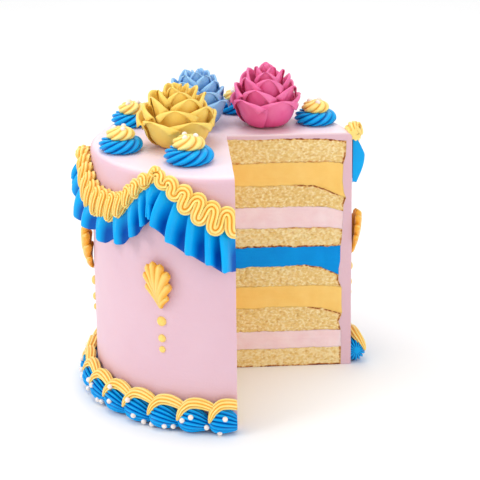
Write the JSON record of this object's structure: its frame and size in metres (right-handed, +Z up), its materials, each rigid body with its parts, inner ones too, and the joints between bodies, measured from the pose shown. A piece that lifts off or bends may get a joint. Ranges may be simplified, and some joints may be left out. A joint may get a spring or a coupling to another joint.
{
  "type": "layered celebration cake",
  "caption": "Tall round layer cake in pink buttercream with one quarter cut out, showing sponge and coloured fillings, with piped swags, shells, rosettes and sugar roses.",
  "frame": {"origin": "centre of the round cake's foot, on the surface that it stands on", "axes": "+Z up; the missing quarter lies towards +X and -Y, with its cut faces along X and along Y"},
  "size_m": [0.2238, 0.2252, 0.2334],
  "materials": {
    "pink_icing": "smooth satin pale pink buttercream",
    "sponge": "matt open golden crumb with browned edges",
    "pink_cream": "smooth satin pale pink filling",
    "yellow_cream": "smooth satin yellow filling",
    "blue_cream": "smooth satin bright blue filling",
    "blue_piping": "piped bright blue buttercream, satin",
    "yellow_piping": "piped butter yellow buttercream, satin",
    "pearl": "white sugar pearl, softly glossy",
    "yellow_sugar": "moulded yellow sugar paste, satin",
    "blue_sugar": "moulded light blue sugar paste, satin",
    "pink_sugar": "moulded pink sugar paste, satin"
  },
  "bodies": {
    "root": {"icing_coat": "pink_icing", "sponge_layer_1": "sponge", "sponge_layer_2": "sponge", "sponge_layer_3": "sponge", "sponge_layer_4": "sponge", "sponge_layer_5": "sponge", "sponge_layer_6": "sponge", "filling_1_pink": "pink_cream", "filling_2_yellow": "yellow_cream", "filling_3_blue": "blue_cream", "filling_4_pink": "pink_cream", "filling_5_yellow": "yellow_cream", "base_shells": "blue_piping", "base_scallops": "yellow_piping", "garland_swag_1": "yellow_piping", "ruffle_swag_1": "blue_piping", "fan_1": "yellow_piping", "garland_swag_2": "yellow_piping", "ruffle_swag_2": "blue_piping", "fan_2": "yellow_piping", "garland_swag_3": "yellow_piping", "ruffle_swag_3": "blue_piping", "fan_3": "yellow_piping", "garland_swag_4": "yellow_piping", "ruffle_swag_4": "blue_piping", "fan_4": "yellow_piping", "garland_swag_5": "yellow_piping", "ruffle_swag_5": "blue_piping", "fan_5": "yellow_piping", "rosette_base_1": "blue_piping", "rosette_top_1": "yellow_piping", "rosette_base_2": "blue_piping", "rosette_top_2": "yellow_piping", "rosette_base_3": "blue_piping", "rosette_top_3": "yellow_piping", "rosette_base_4": "blue_piping", "rosette_top_4": "yellow_piping", "rosette_base_5": "blue_piping", "rosette_top_5": "yellow_piping", "rosette_base_6": "blue_piping", "rosette_top_6": "yellow_piping", "sugar_rose_yellow": "yellow_sugar", "sugar_rose_blue": "blue_sugar", "sugar_rose_pink": "pink_sugar"}
  },
  "joints": []
}
